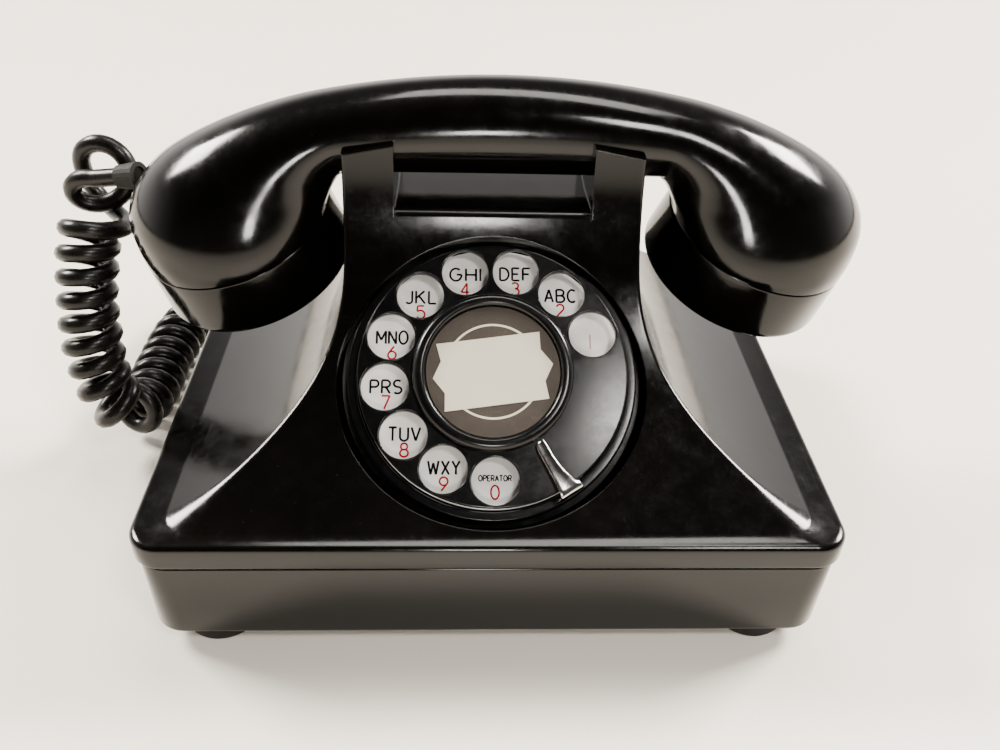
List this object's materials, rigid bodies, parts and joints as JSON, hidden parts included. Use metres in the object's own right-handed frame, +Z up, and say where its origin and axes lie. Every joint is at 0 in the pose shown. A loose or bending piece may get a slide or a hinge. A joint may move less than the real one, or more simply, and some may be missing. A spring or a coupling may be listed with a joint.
{
  "type": "rotary telephone",
  "caption": "Black desk telephone with a flared body, a tilted finger-wheel dial, a lift-off handset on a cradle and a coiled cord.",
  "frame": {"origin": "on the table, under the middle of the handset, 3 mm right of the middle of the base", "axes": "+X to the user's right along the handset, +Y to the back, +Z up"},
  "size_m": [0.2558, 0.1986, 0.1343],
  "materials": {
    "bakelite": "polished",
    "black_metal": "satin black",
    "plate": "enamelled",
    "card": "printed card",
    "window": "clear",
    "chrome": "plated",
    "brass": "turned",
    "steel": "plain",
    "copper_coil": "varnished winding",
    "rubber": "moulded",
    "fibre": "pressed fibre"
  },
  "bodies": {
    "telephone": {"cover_shell": "bakelite", "base_tray": "bakelite", "chassis_plate": "steel", "dial_case": "black_metal", "dial_bezel": "black_metal", "number_plate": "plate", "finger_stop": "chrome", "pulse_contacts": "brass", "hook_lever_pin": "steel", "hookswitch_bracket": "steel", "hook_contacts": "brass", "ringer_frame": "steel", "ringer_coil_left": "copper_coil", "ringer_coil_right": "copper_coil", "gong_left": "brass", "gong_right": "brass", "gong_screw_left": "steel", "gong_screw_right": "steel", "clapper_pin": "steel", "condenser": "steel", "terminal_block": "fibre", "induction_coil": "copper_coil", "handset_cord_bush": "rubber", "line_cord_bush": "rubber", "handset_cord": "rubber", "foot_front_left": "rubber", "foot_screw_front_left": "steel", "foot_front_right": "rubber", "foot_screw_front_right": "steel", "foot_rear_left": "rubber", "foot_screw_rear_left": "steel", "foot_rear_right": "rubber", "foot_screw_rear_right": "steel"},
    "dial_wheel": {"finger_wheel": "black_metal", "card_ring": "black_metal", "number_card": "card", "card_window": "window", "dial_shaft": "steel", "main_gear": "brass", "pulse_cam": "fibre"},
    "idler": {"idler_gear": "brass"},
    "governor": {"governor": "steel"},
    "clapper": {"clapper": "steel"},
    "plunger_left": {"plunger_left": "fibre"},
    "plunger_right": {"plunger_right": "fibre"},
    "hook_lever": {"hook_lever": "steel"},
    "handset": {"handset_shell": "bakelite", "transmitter_cap": "bakelite", "receiver_cap": "bakelite", "transmitter_capsule": "steel", "receiver_capsule": "steel", "handset_bush": "rubber"}
  },
  "joints": [
    {"name": "dial_turn", "type": "hinge", "parent": "telephone", "child": "dial_wheel", "pos_m": [-0.003, -0.0393, 0.0689], "axis": [0, 0.6481, -0.7615], "range_deg": [0, 315], "stiffness_Nm_per_rad": 0.02},
    {"name": "idler_turn", "type": "hinge", "parent": "telephone", "child": "idler", "pos_m": [0.0214, -0.02893, 0.05672], "axis": [0, 0.6481, -0.7615], "range_deg": [-1600, 10]},
    {"name": "governor_spin", "type": "hinge", "parent": "telephone", "child": "governor", "pos_m": [0.0094, -0.02861, 0.05633], "axis": [0, 0.7615, 0.6481], "range_deg": [-10, 7600]},
    {"name": "clapper_swing", "type": "hinge", "parent": "telephone", "child": "clapper", "pos_m": [-0.003, 0.021, 0.0176], "axis": [0, 0, 1], "range_deg": [-4, 4], "stiffness_Nm_per_rad": 0.002},
    {"name": "handset_lift", "type": "slide", "parent": "telephone", "child": "handset", "axis": [0, 0, 1], "range_m": [0, 0.12]},
    {"name": "plunger_left_rise", "type": "slide", "parent": "telephone", "child": "plunger_left", "axis": [0, 0, 1], "range_m": [0, 0.0049]},
    {"name": "plunger_right_rise", "type": "slide", "parent": "telephone", "child": "plunger_right", "axis": [0, 0, 1], "range_m": [0, 0.0049]},
    {"name": "hook_lever_tilt", "type": "hinge", "parent": "telephone", "child": "hook_lever", "pos_m": [-0.003, 0.027, 0.0786], "axis": [-1, 0, 0], "range_deg": [0, 15]}
  ],
  "couplings": [
    {"joint": "idler_turn", "follows": "dial_turn", "ratio": -5},
    {"joint": "governor_spin", "follows": "dial_turn", "ratio": 24},
    {"joint": "plunger_left_rise", "follows": "handset_lift", "ratio": 0.04},
    {"joint": "plunger_right_rise", "follows": "handset_lift", "ratio": 0.04},
    {"joint": "hook_lever_tilt", "follows": "handset_lift", "rad_per_m": 2.1}
  ]
}
